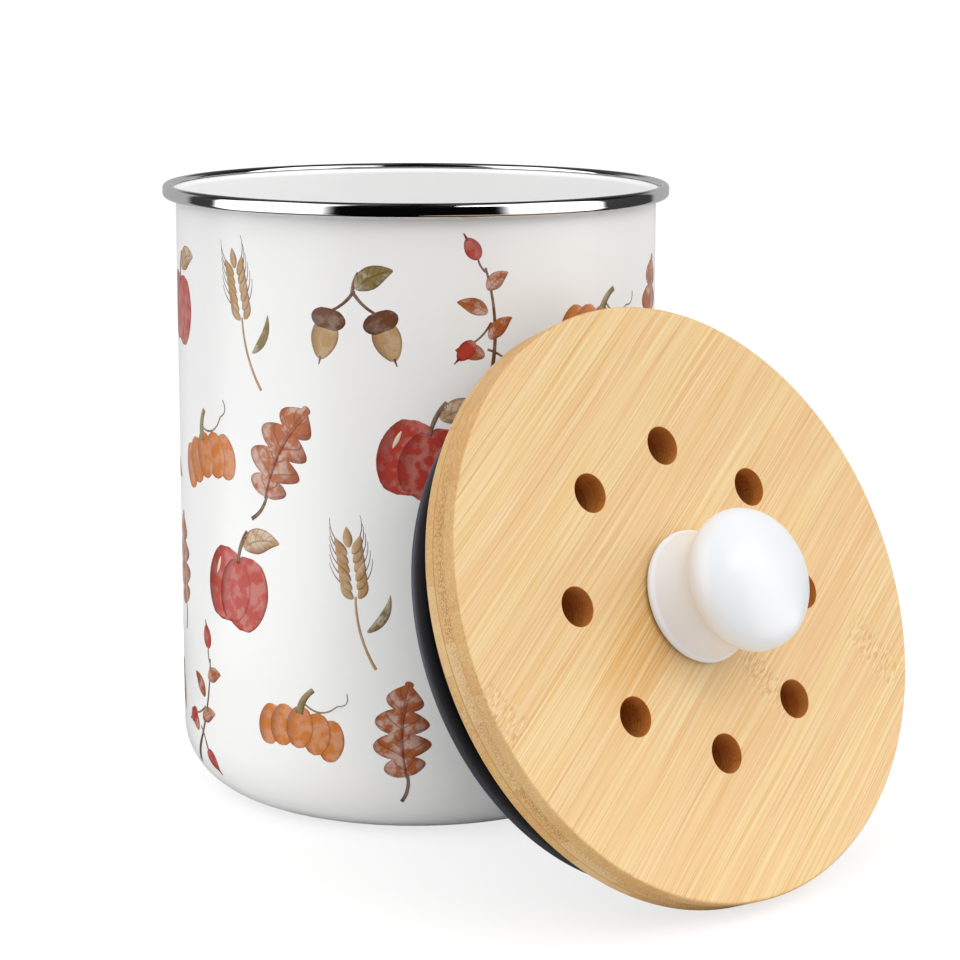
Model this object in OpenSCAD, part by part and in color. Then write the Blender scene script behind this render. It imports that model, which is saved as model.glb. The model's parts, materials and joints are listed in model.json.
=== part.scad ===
// Countertop compost caddy: an enamelled steel canister with a steel rim trim, and a lift-off
// bamboo lid with a ceramic knob, a charcoal filter behind a twist-off cover, and a soft seal.
// Millimetres, +Z up, origin at the centre of the canister's base. The lid leans on the canister.

/* [Canister] */
// Outside diameter of the canister's wall
body_d = 160; // [140:1:190]
// Height from the floor to the top of the rim trim
total_h = 204.5; // [180:0.5:250]
// Thickness of the steel with its enamel
wall_t = 1; // [0.8:0.1:1.2]
// Outside radius of the rounded bottom corner
corner_r = 22; // [10:1:36]
// Inside radius of the bend under the rim's flange
bend_r = 0.6; // [0.4:0.1:0.8]

/* [Rim trim] */
// How far the rim trim stands out beyond the wall
rim_overhang = 4.3; // [3.8:0.1:6]
// Height of the trim's rolled bead
bead_h = 4.6; // [4:0.1:6]
// Width of the trim's rolled bead
bead_w = 3; // [2.6:0.1:3.6]
// Thickness of the trim's sheet
trim_t = 0.5; // [0.4:0.1:0.6]

/* [Lid board] */
// How far the lid board stands out beyond the rim trim
board_overhang = 7.6; // [4:0.1:14]
// Thickness of the laminated bamboo board
board_t = 14; // [12:0.5:18]
// Radius of the board's rounded top edge
board_edge_r = 1; // [0.5:0.1:2.5]
// Radius of the board's rounded lower edge
board_under_r = 2; // [0.5:0.1:3]

/* [Vent holes] */
// Diameter of each vent hole
vent_d = 12; // [8:0.1:15]
// Number of vent holes
vent_count = 8; // [4:1:8]
// Diameter of the circle that the vent holes lie on
vent_circle_d = 95; // [84:0.1:98]
// Turn of the first vent hole about the lid's axis
vent_turn = 84; // [0:0.1:90]

/* [Knob] */
// Diameter of the knob's foot
foot_d = 40.8; // [36:0.1:46]
// Height of the foot's rounded edge
foot_h = 3.4; // [2.4:0.1:4.4]
// Diameter of the knob's neck
neck_d = 35.6; // [30:0.1:38]
// Diameter of the knob's head
head_d = 43.2; // [38:0.1:48]
// Height of the knob's head from its underside to its crown
head_h = 25.2; // [22:0.1:29]
// Height of the knob above the board
knob_h = 36.2; // [33:0.1:40]
// Thickness of the pad under the knob
pad_t = 0.6; // [0.4:0.1:1.2]
// How far the pad's edge lies inside the foot's edge
pad_inset = 1.4; // [0.8:0.1:3]

/* [Knob fixing] */
// Diameter of the screw's thread
screw_d = 5; // [4:0.5:5.5]
// Length of the screw under its head
screw_l = 20; // [18:0.5:24]
// Diameter of the screw's pan head
screw_head_d = 9.5; // [8:0.1:10]
// Height of the screw's pan head
screw_head_h = 3.2; // [2.6:0.1:3.6]
// Outside diameter of the washer
washer_d = 12; // [11:0.1:14]
// Thickness of the washer
washer_t = 1; // [0.8:0.1:1.4]
// Outside diameter of the threaded insert in the knob
insert_d = 8; // [7.5:0.1:9]
// Length of the threaded insert
insert_l = 14; // [12:0.5:16]
// Width of each slot of the screw's cross recess
cross_w = 1.4; // [1:0.1:1.8]
// Length of each slot of the cross recess
cross_l = 4.8; // [4:0.1:5.4]
// Depth of the cross recess
cross_h = 1.6; // [1.2:0.1:2]
// Depth of the recess for the screw's head in the board's underside
recess_h = 5; // [4.8:0.1:6]

/* [Filter housing] */
// Gap between the housing's wall and the mouth of the canister
housing_gap = 3.5; // [3:0.1:5]
// Thickness of the housing's wall
housing_t = 2.2; // [2:0.1:2.6]
// Depth of the housing below the board
housing_h = 19; // [17:0.5:24]
// Thickness of the housing's flange against the board
flange_t = 2.4; // [2.2:0.1:3]
// Width of the housing's flange, inwards from the wall
flange_w = 16; // [14:0.1:17]
// Thickness of the ledges that hold the cover's lugs
ledge_t = 2.2; // [1.8:0.1:2.6]
// How far the ledges reach inwards from the housing's wall
ledge_w = 2.1; // [1.6:0.1:2.6]
// Angle that each ledge covers
ledge_arc = 34; // [28:1:38]
// Number of ledges, and of lugs on the cover
lug_count = 3; // [2:1:4]
// Number of screws that hold the housing
housing_screw_count = 4; // [3:1:6]
// Diameter of a housing screw's shank
wood_screw_d = 3; // [2.5:0.1:3.2]
// Length of a housing screw
wood_screw_l = 12; // [10:0.5:13]
// Diameter of a housing screw's head
wood_screw_head_d = 6.4; // [5.5:0.1:7]

/* [Seal] */
// How far the seal's lip stands out beyond the mouth's radius, before it bends
lip_squeeze = 3.5; // [1:0.1:4]
// Distance of the seal's lip from the housing's lower edge, up to the middle of the lip
lip_inset = 1.6; // [1.2:0.1:3]
// Thickness of the seal's lip
lip_t = 2.2; // [1.6:0.1:2.6]
// Thickness of the seal's band
band_t = 1.6; // [1:0.1:2]
// Depth of the band's upper edge below the board
band_top = 5; // [4:0.1:6.5]
// How far the upper fin stands out beyond the mouth's radius, before it bends
fin_squeeze = 0.5; // [0.2:0.1:1]
// Thickness of the seal's upper fin
fin_t = 1.2; // [0.8:0.1:1.6]
// Depth of the upper fin below the board
fin_depth = 9.2; // [8.5:0.1:11]
// Height of the bead that holds the seal in the housing's groove
groove_h = 3; // [2:0.1:4]
// Depth of the groove, inwards from the housing's surface
groove_t = 0.8; // [0.5:0.1:1]
// Distance of the groove's upper edge below the board
groove_top = 8.5; // [7:0.1:11]

/* [Filter and cover] */
// Thickness of the charcoal filter
filter_t = 12; // [8:0.5:13]
// Thickness of the cover's grille
grille_t = 2.2; // [1.8:0.1:3]
// Height of the cover's skirt behind the grille
skirt_h = 9; // [7.5:0.1:11]
// Thickness of the cover's skirt
skirt_t = 2; // [1.6:0.1:2.6]
// Thickness of the cover's lugs
lug_t = 2; // [1.6:0.1:2.6]
// Angle that each lug covers
lug_arc = 24; // [18:1:28]
// Angle that the cover turns from locked to free
twist = 34; // [32:1:36]
// Number of ribs in the grille
rib_count = 12; // [8:1:16]
// Width of the grille's ribs and rings
rib_w = 2.4; // [1.8:0.1:3]
// Number of rings in the grille between its middle and its edge
ring_count = 3; // [2:1:5]
// Diameter of the grille's closed middle
hub_d = 18.4; // [14:0.1:26]
// How far the grille's edge lies inside the housing's edge
grille_inset = 0.6; // [0.2:0.1:1]
// Length of the cover's finger grip
grip_l = 46; // [36:1:56]
// Height of the cover's finger grip
grip_h = 6; // [4:0.1:9]
// Thickness of the cover's finger grip
grip_t = 5; // [4:0.1:7]

/* [Pose of the lid] */
// How far the lid leans back from upright
lid_lean = 23.5; // [15:0.1:32]
// Direction that the lid's face looks in, about the vertical
lid_heading = -48.8; // [-90:0.1:0]
// How far the lid's centre lies to the side of the canister's axis
lid_side = -14.3; // [-24:0.1:24]

/* [Hidden] */
$fn = 96;

// Clearances
seat_gap = 0.3;
fit_gap = 0.1;
washer_gap = 1;
filter_gap = 0.5;
stop_gap = 0.3;
cut = 1;

// Canister and rim trim, as radii from the vertical axis and heights above the floor
body_r = body_d / 2;
inner_r = body_r - wall_t;
rim_r = body_r + rim_overhang;
bead_x = rim_r - bead_w / 2;
bead_z = total_h - bead_h / 2;
bend_x = body_r + bend_r;
bend_z = bead_z - wall_t / 2 - bend_r;
flange_reach = rim_r - trim_t - seat_gap;

// Lid, as radii from its axis and heights above the top face of its board
board_r = rim_r + board_overhang;
foot_r = foot_d / 2;
head_r = head_d / 2;
neck_r = neck_d / 2;
head_z = knob_h - head_h / 2;
neck_z = head_z - head_h / 2 * sqrt(1 - pow(neck_r / head_r, 2));
recess_z = recess_h - board_t;
recess_r = washer_d / 2 + washer_gap;
screw_hole_r = screw_d / 2 + seat_gap;
screw_seat_z = recess_z - washer_t;
screw_edge_r = 1;
screw_seat_edge_r = 0.2;
insert_top = pad_t + insert_l + fit_gap;

// Housing, seal and cover, as radii from the lid's axis and depths below the board
housing_r = inner_r - housing_gap;
housing_in_r = housing_r - housing_t;
flange_in_r = housing_r - flange_w;
housing_screw_r = (flange_in_r + housing_in_r) / 2;
ledge_r = housing_in_r - ledge_w;
ledge_top = housing_h - ledge_t;
skirt_r = ledge_r - seat_gap - fit_gap;
skirt_in_r = skirt_r - skirt_t;
lug_r = housing_in_r - seat_gap - fit_gap;
lug_bottom = ledge_top - seat_gap;
lug_top = lug_bottom - lug_t;
grille_top = housing_h + seat_gap;
grille_r = housing_r - grille_inset;
grille_open_r = skirt_in_r - rib_w;
ring_pitch = (grille_open_r - hub_d / 2) / (ring_count + 1);
filter_r = skirt_in_r - filter_gap;
filter_edge_r = 1;
stop_arc = 3;
stop_clear = stop_gap / housing_in_r * 180 / PI;
lip_r = inner_r + lip_squeeze;
lip_depth = housing_h - lip_inset;
fin_r = inner_r + fin_squeeze;
band_in_r = housing_r + fit_gap;
band_mid_r = band_in_r + band_t / 2;
band_r = band_in_r + band_t;

// Place of the leaning lid: its lowest edge is on the floor, and the outermost of its edges
// below the board touches the wall. Each edge is a radius and a depth below the top face.
lean_edges = [
    [board_r, board_t],
    [lip_r, board_t + lip_depth + lip_t / 2],
    [grille_r, board_t + grille_top + grille_t]
];
touch_r = body_r + seat_gap;
function reach(edge) = edge[1] * cos(lid_lean) + max([
    for (a = [0 : 1 : 180])
        let (side = lid_side + edge[0] * cos(a))
        if (abs(side) < touch_r)
            edge[0] * sin(lid_lean) * sin(a) + sqrt(pow(touch_r, 2) - pow(side, 2))
]);
lid_reach = max([for (edge = lean_edges) reach(edge)]);
lid_z = (board_t - board_under_r) * sin(lid_lean) + (board_r - board_under_r) * cos(lid_lean)
    + board_under_r;
lid_place = [
    lid_reach * cos(lid_heading) - lid_side * sin(lid_heading),
    lid_reach * sin(lid_heading) + lid_side * cos(lid_heading),
    lid_z
];

// Puts a piece that is drawn about the lid's own axis, with its top face at zero, in its place
module in_lid() {
    translate(lid_place) rotate([90 - lid_lean, 0, lid_heading + 90]) children();
}

// Half outline of a round cup that is closed below, with a rounded bottom corner
module cup_outline(r, corner, bottom, top) {
    translate([0, bottom]) square([r - corner, top - bottom]);
    translate([0, bottom + corner]) square([r, top - bottom - corner]);
    translate([r - corner, bottom + corner]) intersection() {
        circle(corner);
        translate([0, -corner]) square(corner);
    }
}

// Half outline of a disc with a rounded top edge and a rounded lower edge
module disc_outline(r, bottom, top, top_edge, lower_edge) {
    square_r = r - max(top_edge, lower_edge);
    translate([0, bottom]) square([square_r, top - bottom]);
    translate([0, bottom + lower_edge]) square([r, top - bottom - lower_edge - top_edge]);
    for (corner = [[top_edge, top - top_edge], [lower_edge, bottom + lower_edge]]) {
        translate([r - corner[0], corner[1]]) circle(corner[0]);
        translate([0, corner[1] - corner[0]]) square([r - corner[0], 2 * corner[0]]);
    }
}

// A ring between two radii and two heights
module ring(r_in, r_out, bottom, top) {
    rotate_extrude() translate([r_in, bottom]) square([r_out - r_in, top - bottom]);
}

// A stretch of such a ring, which starts at one angle and covers another
module ring_part(r_in, r_out, bottom, top, start, arc) {
    rotate([0, 0, start]) rotate_extrude(angle = arc)
        translate([r_in, bottom]) square([r_out - r_in, top - bottom]);
}

// Half of the canister's section: the drawn cup, the bend below its flange, and the flange
module shell_section() {
    difference() {
        cup_outline(body_r, corner_r, 0, bend_z);
        cup_outline(inner_r, corner_r - wall_t, wall_t, bend_z + cut);
    }
    translate([bend_x, bend_z]) intersection() {
        difference() {
            circle(bend_r + wall_t);
            circle(bend_r);
        }
        translate([-bend_r - wall_t, 0]) square(bend_r + wall_t);
    }
    translate([bend_x, bend_z + bend_r]) square([flange_reach - bend_x, wall_t]);
}

module canister_shell() {
    color("whitesmoke") rotate_extrude() shell_section();
}

// Outline of the rolled bead at some depth under its surface: an upright oval
module bead_outline(depth) {
    hull() for (side = [-1, 1])
        translate([bead_x, bead_z + side * (bead_h - bead_w) / 2]) circle(bead_w / 2 - depth);
}

// Half of the trim's section: the hollow bead, slit on its inner side where the flange enters
module trim_section() {
    difference() {
        bead_outline(0);
        bead_outline(trim_t);
        translate([bead_x - bead_w, bead_z - wall_t / 2 - seat_gap])
            square([bead_w, wall_t + 2 * seat_gap]);
    }
}

module rim_trim() {
    color("silver") rotate_extrude() trim_section();
}

// The bamboo board, with its vent holes, the knob's hole and recess, and the screws' pilot holes
module lid_board() {
    color("burlywood") in_lid() difference() {
        rotate_extrude() disc_outline(board_r, -board_t, 0, board_edge_r, board_under_r);
        for (i = [0 : vent_count - 1])
            rotate([0, 0, vent_turn + i * 360 / vent_count])
                translate([vent_circle_d / 2, 0, -board_t - cut])
                    cylinder(r = vent_d / 2, h = board_t + 2 * cut);
        translate([0, 0, -board_t - cut]) cylinder(r = screw_hole_r, h = board_t + 2 * cut);
        translate([0, 0, -board_t - cut]) cylinder(r = recess_r, h = recess_h + cut);
        at_housing_screws() translate([0, 0, -board_t - cut])
            cylinder(r = wood_screw_d / 2 + fit_gap, h = wood_screw_l - flange_t + 2 * cut);
    }
}

// Profile of the knob: rounded foot, hollow flare up to the neck, and flattened round head.
// The flare narrows with a power of the height; the head is half an ellipse.
flare_power = 1.7;
flare_steps = 10;
head_step = 5;
foot_step = 15;
foot_end = 60;
foot_edge_r = foot_h / 2;
neck_angle = -acos(neck_r / head_r);
foot_outline = [
    for (a = [-90 : foot_step : foot_end])
        [foot_r - foot_edge_r + foot_edge_r * cos(a), pad_t + foot_edge_r + foot_edge_r * sin(a)]
];
flare_start = foot_outline[len(foot_outline) - 1];
flare_outline = [
    for (i = [1 : flare_steps - 1])
        let (s = i / flare_steps)
        [
            neck_r + (flare_start[0] - neck_r) * pow(1 - s, flare_power),
            flare_start[1] + (neck_z - flare_start[1]) * s
        ]
];
head_outline = [
    for (i = [0 : ceil((90 - neck_angle) / head_step) - 1])
        let (a = neck_angle + i * head_step)
        [head_r * cos(a), head_z + head_h / 2 * sin(a)]
];
knob_outline = concat([[0, pad_t]], foot_outline, flare_outline, head_outline, [[0, knob_h]]);

module knob() {
    color("white") in_lid() difference() {
        rotate_extrude() polygon(knob_outline);
        translate([0, 0, pad_t - cut])
            cylinder(r = insert_d / 2 + fit_gap, h = insert_top - pad_t + cut);
    }
}

module knob_pad() {
    color("dimgray") in_lid() ring(screw_hole_r, foot_r - pad_inset, 0, pad_t);
}

module knob_insert() {
    color("goldenrod") in_lid() ring(screw_d / 2 + fit_gap, insert_d / 2, pad_t, pad_t + insert_l);
}

// Pan-head screw with a cross recess, up through the washer and the board into the insert
module knob_screw() {
    color("gainsboro") in_lid() translate([0, 0, screw_seat_z]) difference() {
        union() {
            rotate_extrude()
                disc_outline(screw_head_d / 2, -screw_head_h, 0, screw_seat_edge_r, screw_edge_r);
            translate([0, 0, -cut]) cylinder(r = screw_d / 2, h = screw_l + cut);
        }
        for (a = [0, 90])
            rotate([0, 0, a]) translate([-cross_l / 2, -cross_w / 2, -screw_head_h - cut])
                cube([cross_l, cross_w, cross_h + cut]);
    }
}

module knob_washer() {
    color("lightgray") in_lid() ring(screw_hole_r, washer_d / 2, screw_seat_z, recess_z);
}

// Where the housing's screws stand: on one circle in its flange, between the vent holes
module at_housing_screws() {
    for (i = [0 : housing_screw_count - 1])
        rotate([0, 0, vent_turn + 180 / vent_count + i * 360 / housing_screw_count])
            translate([housing_screw_r, 0, 0]) children();
}

// Half of the housing's section: wall with the seal's groove, and inward flange
module housing_section() {
    difference() {
        translate([housing_in_r, -housing_h]) square([housing_t, housing_h]);
        translate([housing_r - groove_t, -groove_top - groove_h]) square([groove_t + cut, groove_h]);
    }
    translate([flange_in_r, -flange_t]) square([housing_in_r - flange_in_r + cut, flange_t]);
}

// One catch of the cover's twist lock: the ledge that carries a lug, and the stops at both ends
// of the lug's travel
module catch() {
    stop_top = seat_gap - lug_top;
    ring_part(ledge_r, housing_in_r + cut, -housing_h, -ledge_top, -ledge_arc / 2, ledge_arc);
    for (start = [-lug_arc / 2 - stop_clear - stop_arc, lug_arc / 2 + twist + stop_clear])
        ring_part(ledge_r, housing_in_r + cut, -housing_h, stop_top, start, stop_arc);
}

// Moulded ring under the board, with the catches and the countersunk holes for its screws
module filter_housing() {
    shank_r = wood_screw_d / 2 + fit_gap;
    head_r = wood_screw_head_d / 2 + fit_gap;
    color("darkslategray") in_lid() translate([0, 0, -board_t]) difference() {
        union() {
            rotate_extrude() housing_section();
            for (i = [0 : lug_count - 1]) rotate([0, 0, i * 360 / lug_count]) catch();
        }
        at_housing_screws() {
            translate([0, 0, -flange_t - cut]) cylinder(r = shank_r, h = flange_t + 2 * cut);
            translate([0, 0, -flange_t - fit_gap]) cylinder(r1 = head_r, r2 = shank_r, h = flange_t);
        }
    }
}

// Countersunk wood screws through the housing's flange into the board
module housing_screws() {
    head_h = flange_t - fit_gap;
    tip_h = wood_screw_d;
    color("silver") in_lid() translate([0, 0, -board_t]) at_housing_screws() {
        rotate_extrude() polygon([
            [0, -flange_t],
            [wood_screw_head_d / 2, -flange_t],
            [wood_screw_d / 2, head_h - flange_t],
            [wood_screw_d / 2, wood_screw_l - flange_t - tip_h],
            [0, wood_screw_l - flange_t]
        ]);
    }
}

// Half of the seal's section: band, bead in the groove, upper fin and lower lip
module seal_section() {
    bead_in_r = housing_r - groove_t + fit_gap;
    translate([band_in_r, -housing_h]) square([band_t, housing_h - band_top]);
    translate([bead_in_r, -groove_top - groove_h + fit_gap])
        square([band_mid_r - bead_in_r, groove_h - 2 * fit_gap]);
    for (edge = [[lip_r, lip_depth, lip_t], [fin_r, fin_depth, fin_t]]) {
        tip_r = edge[2] / 2;
        translate([edge[0] - tip_r, -edge[1]]) circle(tip_r);
        polygon([
            [band_mid_r, -edge[1] - tip_r],
            [edge[0] - tip_r, -edge[1] - tip_r],
            [edge[0] - tip_r, -edge[1] + tip_r],
            [band_r, -edge[1] + tip_r],
            [band_mid_r, -edge[1] + 2 * tip_r]
        ]);
    }
}

module lid_seal() {
    color("dimgray") in_lid() translate([0, 0, -board_t]) rotate_extrude() seal_section();
}

// The grille's outline: closed middle, edge band, rings and ribs
module grille_outline() {
    circle(hub_d / 2);
    difference() {
        circle(grille_r);
        circle(grille_open_r);
    }
    for (i = [1 : ring_count]) difference() {
        circle(hub_d / 2 + i * ring_pitch + rib_w / 2);
        circle(hub_d / 2 + i * ring_pitch - rib_w / 2);
    }
    for (i = [0 : rib_count - 1])
        rotate(i * 360 / rib_count) translate([0, -rib_w / 2]) square([grille_open_r + cut, rib_w]);
}

// The finger grip's outline: a bar with round ends
module grip_outline() {
    translate([(grip_t - grip_l) / 2, -grip_t / 2]) square([grip_l - grip_t, grip_t]);
    for (side = [-1, 1]) translate([side * (grip_l - grip_t) / 2, 0]) circle(grip_t / 2);
}

// Round grille with a skirt and lugs behind it and a finger grip across its middle
module filter_cover() {
    grille_low = -grille_top - grille_t;
    color("darkslategray") in_lid() translate([0, 0, -board_t]) {
        translate([0, 0, grille_low]) linear_extrude(grille_t) grille_outline();
        ring(skirt_in_r, skirt_r, grille_low + grille_t / 2, skirt_h - grille_top);
        for (i = [0 : lug_count - 1]) rotate([0, 0, i * 360 / lug_count])
            ring_part(skirt_r - skirt_t / 2, lug_r, -lug_bottom, -lug_top, -lug_arc / 2, lug_arc);
        translate([0, 0, grille_low - grip_h]) linear_extrude(grip_h + grille_t / 2) grip_outline();
    }
}

module charcoal_filter() {
    color("#222222") in_lid() translate([0, 0, -board_t])
        rotate_extrude()
            disc_outline(filter_r, -grille_top, filter_t - grille_top, filter_edge_r, filter_edge_r);
}

canister_shell();
rim_trim();
lid_board();
knob();
knob_pad();
knob_insert();
knob_screw();
knob_washer();
filter_housing();
housing_screws();
lid_seal();
filter_cover();
charcoal_filter();
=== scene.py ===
"""Countertop compost caddy: enamelled canister with a printed wall and a steel rim trim, and its
bamboo lid with ceramic knob, vent holes, soft seal, filter housing, filter and cover. Sizes of the
pieces are in millimetres, and what the scene holds is in metres."""
import json
import math

import bmesh
import bpy
import numpy as np
from mathutils import Matrix, Vector


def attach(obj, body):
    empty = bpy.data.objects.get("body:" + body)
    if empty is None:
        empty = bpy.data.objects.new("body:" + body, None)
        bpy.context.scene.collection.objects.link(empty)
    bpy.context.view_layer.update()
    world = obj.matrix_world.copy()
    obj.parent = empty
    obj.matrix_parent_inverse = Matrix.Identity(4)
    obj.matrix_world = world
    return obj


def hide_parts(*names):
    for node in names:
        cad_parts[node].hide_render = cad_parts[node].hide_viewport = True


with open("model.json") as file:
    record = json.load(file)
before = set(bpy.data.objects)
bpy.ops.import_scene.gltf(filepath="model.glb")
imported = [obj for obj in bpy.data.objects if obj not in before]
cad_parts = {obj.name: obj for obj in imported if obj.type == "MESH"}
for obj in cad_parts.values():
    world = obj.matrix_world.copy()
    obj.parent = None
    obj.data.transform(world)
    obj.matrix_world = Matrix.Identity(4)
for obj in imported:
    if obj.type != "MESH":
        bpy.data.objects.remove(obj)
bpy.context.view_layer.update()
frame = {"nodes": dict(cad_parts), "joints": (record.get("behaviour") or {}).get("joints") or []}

# ----------------------
# Camera: a long lens from a little above the rim, which looks down at the canister's middle.
# ----------------------
CAMERA_AT = (0.0, -0.90399, 0.27734)
CAMERA_PITCH = 0.1906
CAMERA_YAW = 0.0238
CAMERA_ROLL = 0.0025
CAMERA_LENS = 101.2


def new_object(name, data):
    """Makes an object and links it to the scene."""
    made = bpy.data.objects.new(name, data)
    bpy.context.collection.objects.link(made)
    return made


camera_data = bpy.data.cameras.new("camera")
camera_data.sensor_width = 36.0
camera_data.lens = CAMERA_LENS
camera_data.clip_start = 0.05
camera_data.clip_end = 60.0
camera = new_object("camera", camera_data)
forward = Vector((
    math.sin(CAMERA_YAW) * math.cos(CAMERA_PITCH),
    math.cos(CAMERA_YAW) * math.cos(CAMERA_PITCH),
    -math.sin(CAMERA_PITCH),
))
level = forward.cross(Vector((0, 0, 1))).normalized()
above = level.cross(forward)
camera_x = math.cos(CAMERA_ROLL) * level + math.sin(CAMERA_ROLL) * above
camera_y = math.cos(CAMERA_ROLL) * above - math.sin(CAMERA_ROLL) * level
turn = Matrix((camera_x, camera_y, -forward)).transposed()
camera.matrix_world = Matrix.Translation(CAMERA_AT) @ turn.to_4x4()
bpy.context.scene.camera = camera
bpy.context.scene.view_settings.view_transform = "Standard"

# ----------------------
# Floor: a wide white sheet. It takes the soft shadow of the object near it, and fades into the
# white surroundings further out.
# ----------------------
FLOOR_SIZE = 40.0
FLOOR_NEAR = 0.93
FLOOR_FAR = 0.62
FLOOR_FRONT = 0.30
PAINT_RANGE = (0.22, 0.45)
WHITE_LEVEL = 1.06
SHADOW_SHARE = 0.30
SHADOW_RANGE = (0.22, 0.75)
PANEL_LEVEL = 2.0
GAP_LEVEL = 0.002
GAP_RANGE = (0.71, 0.82)
EDGE_LEVEL = 0.05
EDGE_START = (-0.12, -0.20)
EDGE_END = (-0.46, -0.56)
EDGE_WIDER = 0.16
BACK_LEVEL = 0.46
RING_RANGE = (0.20, 0.32)
RING_LEVEL = 0.06


def feed(tree, socket, value):
    """Sets an input socket to a value, or links it to another node's socket."""
    if isinstance(value, bpy.types.NodeSocket):
        tree.links.new(value, socket)
    else:
        socket.default_value = value


def fill(tree, node, **sockets):
    """Feeds a node's named input sockets."""
    for name, value in sockets.items():
        feed(tree, node.inputs[name.replace("_", " ")], value)
    return node


def shade(tree, kind, **sockets):
    """Adds a node to a tree and feeds its named input sockets."""
    return fill(tree, tree.nodes.new(kind), **sockets)


def maths(tree, operation, *values):
    """Adds a Math node with the values or sockets given, and returns its result."""
    node = tree.nodes.new("ShaderNodeMath")
    node.operation = operation
    for socket, value in zip(node.inputs, values):
        feed(tree, socket, value)
    return node.outputs[0]


def times(tree, product, *values):
    """The product of two or more values or sockets."""
    for value in values:
        product = maths(tree, "MULTIPLY", product, value)
    return product


def plus(tree, one, other):
    """The sum of two values or sockets."""
    return maths(tree, "ADD", one, other)


def minus(tree, one, other):
    """The difference of two values or sockets."""
    return maths(tree, "SUBTRACT", one, other)


def ramp(tree, value, low, high, to_low=0.0, to_high=1.0):
    """Smooth step of a value between two limits, carried to two other values."""
    node = tree.nodes.new("ShaderNodeMapRange")
    node.interpolation_type = "SMOOTHSTEP"
    return fill(tree, node, Value=value, From_Min=low, From_Max=high, To_Min=to_low,
                To_Max=to_high).outputs["Result"]


def xyz(tree, vector):
    """The three components of a vector."""
    part = shade(tree, "ShaderNodeSeparateXYZ", Vector=vector)
    return part.outputs["X"], part.outputs["Y"], part.outputs["Z"]


def mixed(tree, share, first, second):
    """Mixes the shaders of two nodes by a share."""
    mix = shade(tree, "ShaderNodeMixShader", Fac=share)
    tree.links.new(first.outputs[0], mix.inputs[1])
    tree.links.new(second.outputs[0], mix.inputs[2])
    return mix


def studio_level(tree, vector):
    """What polished surfaces see in a level direction, or on the floor at a place: wide white
    panels at both sides, a dark gap towards the camera, narrow dark edges, and a grey back.
    Also returns how far the direction faces the camera, from -1 to 1."""
    x, y, _ = xyz(tree, vector)
    flat = maths(tree, "SQRT", plus(tree, times(tree, x, x), times(tree, y, y)))
    facing = maths(tree, "DIVIDE", times(tree, y, -1.0), maths(tree, "MAXIMUM", flat, 1e-4))
    # The dark edge at the right is wider than the one at the left, at both of its sides
    wider = ramp(tree, x, -0.02, 0.02, 0.0, EDGE_WIDER)
    starts = minus(tree, facing, wider)
    ends = plus(tree, facing, wider)
    edge = times(tree, ramp(tree, starts, *EDGE_START), ramp(tree, ends, *EDGE_END[::-1]))
    level = ramp(tree, facing, *GAP_RANGE, PANEL_LEVEL, GAP_LEVEL)
    level = minus(tree, level, times(tree, edge, PANEL_LEVEL - EDGE_LEVEL))
    level = minus(tree, level, ramp(tree, ends, *EDGE_END, 0.0, PANEL_LEVEL - BACK_LEVEL))
    return maths(tree, "MAXIMUM", level, GAP_LEVEL), facing


floor_mesh = bpy.data.meshes.new("floor")
half = FLOOR_SIZE / 2
corners = [(-half, -half, 0), (half, -half, 0), (half, half, 0), (-half, half, 0)]
floor_mesh.from_pydata(corners, [], [(0, 1, 2, 3)])
floor = new_object("floor", floor_mesh)
floor_paint = bpy.data.materials.new("floor paint")
floor_paint.use_nodes = True
tree = floor_paint.node_tree
tree.nodes.clear()
place = tree.nodes.new("ShaderNodeTexCoord").outputs["Object"]
length = tree.nodes.new("ShaderNodeVectorMath")
length.operation = "LENGTH"
tree.links.new(place, length.inputs[0])
distance = length.outputs["Value"]
ray = tree.nodes.new("ShaderNodeLightPath").outputs
seen = maths(tree, "MAXIMUM", ray["Is Camera Ray"], ray["Is Glossy Ray"])
seen = maths(tree, "MAXIMUM", seen, ray["Is Transmission Ray"])
bright = ramp(tree, distance, *SHADOW_RANGE, 1 - SHADOW_SHARE, 1.0)
bright = maths(tree, "MAXIMUM", bright, ray["Is Glossy Ray"])
# Polished metal also shows the studio's panels and gap on the floor, and a dark ring close by
mirrored, facing = studio_level(tree, place)
mirrored = times(tree, mirrored, ramp(tree, distance, *RING_RANGE, RING_LEVEL, 1.0))
strength = shade(tree, "ShaderNodeMix", Factor=ray["Is Glossy Ray"], A=WHITE_LEVEL, B=mirrored)
glow = shade(tree, "ShaderNodeEmission", Color=(1, 1, 1, 1), Strength=strength.outputs[0])
# The paint lights the object from below: less from further out, and least from the front
paint_level = ramp(tree, distance, *PAINT_RANGE, FLOOR_NEAR, FLOOR_FAR)
unlit = times(tree, ramp(tree, facing, 0.2, 0.9), ramp(tree, distance, 0.30, 0.60),
              minus(tree, 1.0, ray["Is Camera Ray"]))
paint_level = minus(tree, paint_level, times(tree, unlit, FLOOR_FAR - FLOOR_FRONT))
paint = shade(tree, "ShaderNodeBsdfDiffuse", Color=paint_level)
surface = mixed(tree, times(tree, seen, bright), paint, glow)
shade(tree, "ShaderNodeOutputMaterial", Surface=surface.outputs[0])
floor_mesh.materials.append(floor_paint)

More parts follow.
